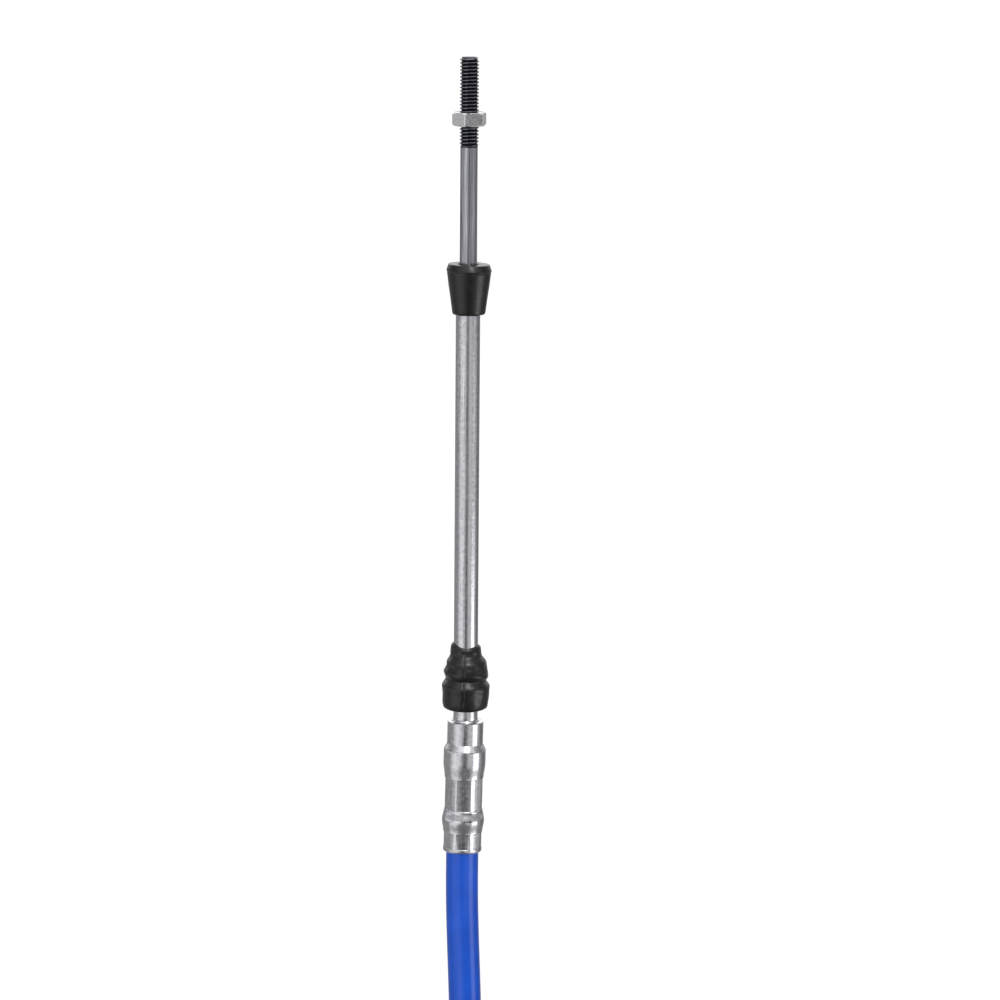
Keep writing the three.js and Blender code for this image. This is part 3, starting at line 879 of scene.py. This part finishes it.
# The room that metal and rubber mirror. Each row holds for directions that point so far towards the rod's
# tip, from -1 to 1, and gives the brightness at angles from straight up, left negative
brightest = 10
room = {
    -0.65: [
        (-180, 0.9), (-140, 0.8), (-100, 0.3), (-40, 0.2), (40, 0.2), (100, 0.3), (140, 0.8), (180, 0.9),
    ],
    -0.4: [
        (-180, 0.45), (-95, 0.35), (-75, 0.9), (-40, 1.0), (-28, 0.5), (-15, 0.25), (25, 0.25), (40, 0.5),
        (60, 1.4), (80, 1.3), (95, 0.4), (130, 0.25), (180, 0.45),
    ],
    -0.24: [
        (-180, 0.5), (-132, 0.33), (-95, 0.38), (-86, 0.35), (-74, 1.0), (-50, 1.25), (-26, 0.95),
        (-14, 0.5), (-5, 0.1), (6, 0.1), (14, 0.4), (26, 0.8), (40, 0.8), (52, 0.8), (80, 0.75),
        (98, 0.5), (118, 0.2), (132, 0.2), (150, 0.42), (180, 0.5),
    ],
    -0.14: [
        (-180, 0.5), (-122, 0.36), (-90, 0.4), (-74, 0.5), (-62, 0.9), (-50, 1.0), (-26, 0.7),
        (-12, 0.5), (-4, 0.28), (6, 0.28), (16, 0.55), (34, 0.9), (46, 0.7), (56, 0.5), (68, 0.7),
        (80, 0.7), (92, 0.45), (105, 0.28), (122, 0.2), (147, 0.35), (180, 0.5),
    ],
    -0.105: [
        (-180, 0.45), (-113, 0.12), (-90, 0.2), (-72, 0.3), (-58, 0.7), (-30, 0.9), (-14, 0.6),
        (-4, 0.35), (8, 0.7), (18, 1.5), (28, 1.2), (40, 0.6), (60, 0.7), (75, 0.5), (92, 0.2),
        (113, 0.15), (150, 0.4), (180, 0.45),
    ],
    -0.088: [
        (-180, 0.4), (-125, 0.4), (-100, 1.0), (-75, 1.05), (-60, 0.8), (-40, 1.6), (-22, 1.6),
        (-8, 0.5), (9, 0.03), (50, 0.03), (58, 0.8), (100, 0.4), (125, 0.5), (150, 0.6), (180, 0.4),
    ],
    0.02: [
        (-180, 0.4), (-125, 0.3), (-100, 1.0), (-75, 1.05), (-60, 0.7), (-40, 1.4), (-22, 1.4),
        (-8, 0.5), (9, 0.03), (50, 0.03), (58, 0.7), (100, 0.4), (125, 0.5), (150, 0.6), (180, 0.4),
    ],
    0.09: [
        (-180, 0.5), (-120, 0.3), (-60, 0.6), (0, 0.6), (50, 0.6), (90, 0.3), (130, 0.3), (180, 0.5),
    ],
    0.13: [
        (-180, 1.6), (-140, 1.2), (-120, 0.3), (-60, 0.5), (0, 0.6), (50, 0.6), (90, 0.3), (130, 0.3),
        (150, 1.2), (180, 1.6),
    ],
    0.4: [
        (-180, 1.6), (-140, 1.2), (-100, 0.3), (-75, 0.4), (-50, 0.8), (-15, 0.9), (2, 0.9), (8, 2),
        (24, 2), (32, 0.9), (58, 1), (75, 0.4), (110, 0.3), (140, 1.2), (180, 1.6),
    ],
    0.5: [
        (-180, 1.6), (-140, 1.2), (-100, 0.4), (-75, 0.5), (-50, 1), (-30, 1.5), (0, 1.3), (9, 6),
        (21, 6), (32, 1.3), (58, 1), (75, 0.5), (110, 0.3), (140, 1.2), (180, 1.6),
    ],
    0.86: [
        (-180, 1.6), (-100, 0.5), (-75, 0.6), (-15, 1.2), (4, 1.2), (11, 7), (26, 7), (36, 1.2),
        (75, 0.6), (110, 0.5), (180, 1.6),
    ],
    0.93: [(-180, 1.3), (0, 1.3), (180, 1.3)],
}
world = bpy.data.worlds.new("studio")
world.use_nodes = True
bpy.context.scene.world = world
tree = world.node_tree
tree.nodes.clear()
direction = add_node(tree, "ShaderNodeTexCoord").outputs["Generated"]
toward = add_node(tree, "ShaderNodeSeparateXYZ", {"Vector": direction}).outputs
bearing = add_node(tree, "ShaderNodeMath", {0: toward["X"], 1: toward["Z"]}, operation="ARCTAN2")
share = add_node(
    tree, "ShaderNodeMapRange", {"Value": bearing, "From Min": -math.pi, "From Max": math.pi}
)
seen = None
for reach, stops in room.items():
    ramp = add_node(tree, "ShaderNodeValToRGB", {"Fac": share})
    elements = ramp.color_ramp.elements
    while len(elements) < len(stops):
        elements.new(0.5)
    for element, (angle, _) in zip(elements, stops):
        element.position = (angle + 180) / 360
    for element, (_, bright) in zip(elements, stops):
        element.color = (bright / brightest,) * 3 + (1,)
    if seen is None:
        seen = ramp.outputs["Color"]
    else:
        change = add_node(
            tree, "ShaderNodeMapRange", {"Value": toward["Y"], "From Min": last_reach, "From Max": reach}
        )
        both = add_node(tree, "ShaderNodeMix", {"Factor": change, "A": seen, "B": ramp}, data_type="RGBA")
        seen = both.outputs["Result"]
    last_reach = reach

# Mirrored rays see the room, scattered ones soft light that is stronger from above, and the camera white
bands = add_node(tree, "ShaderNodeBackground", {"Color": seen, "Strength": float(brightest)})
above = add_node(
    tree,
    "ShaderNodeMapRange",
    {"Value": toward["Z"], "From Min": -1.0, "From Max": 1.0, "To Min": 0.3, "To Max": 1.35},
)
soft = add_node(tree, "ShaderNodeBackground", {"Color": above, "Strength": 1.0})
plain = add_node(tree, "ShaderNodeBackground", {"Color": (1, 1, 1, 1), "Strength": 1.05})
path = add_node(tree, "ShaderNodeLightPath").outputs
lit = add_node(tree, "ShaderNodeMixShader", {0: path["Is Diffuse Ray"], 1: plain, 2: soft})
light = add_node(tree, "ShaderNodeMixShader", {0: path["Is Glossy Ray"], 1: lit, 2: bands})
add_node(tree, "ShaderNodeOutputWorld", {"Surface": light})
